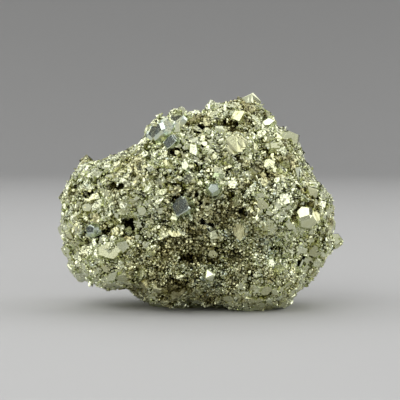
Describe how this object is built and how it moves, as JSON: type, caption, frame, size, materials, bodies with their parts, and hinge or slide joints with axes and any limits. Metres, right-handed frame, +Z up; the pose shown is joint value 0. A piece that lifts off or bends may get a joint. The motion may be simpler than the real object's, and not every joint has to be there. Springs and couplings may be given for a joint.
{
  "type": "pyrite specimen",
  "caption": "Irregular lump of granular pyrite with angular crystals and pits over its whole surface and a flat underside to stand on; a display mineral.",
  "frame": {"origin": "on the flat underside, under the middle of the lump's box", "axes": "+Z up from the face it rests on, +X along the width, -Y towards the side with the large crystals"},
  "size_m": [0.0798, 0.052, 0.06],
  "materials": {
    "pyrite": "pale brassy metallic lustre, granular, bright on crystal faces and dull brown in the hollows"
  },
  "bodies": {
    "root": {"pyrite_specimen": "pyrite"}
  },
  "joints": []
}
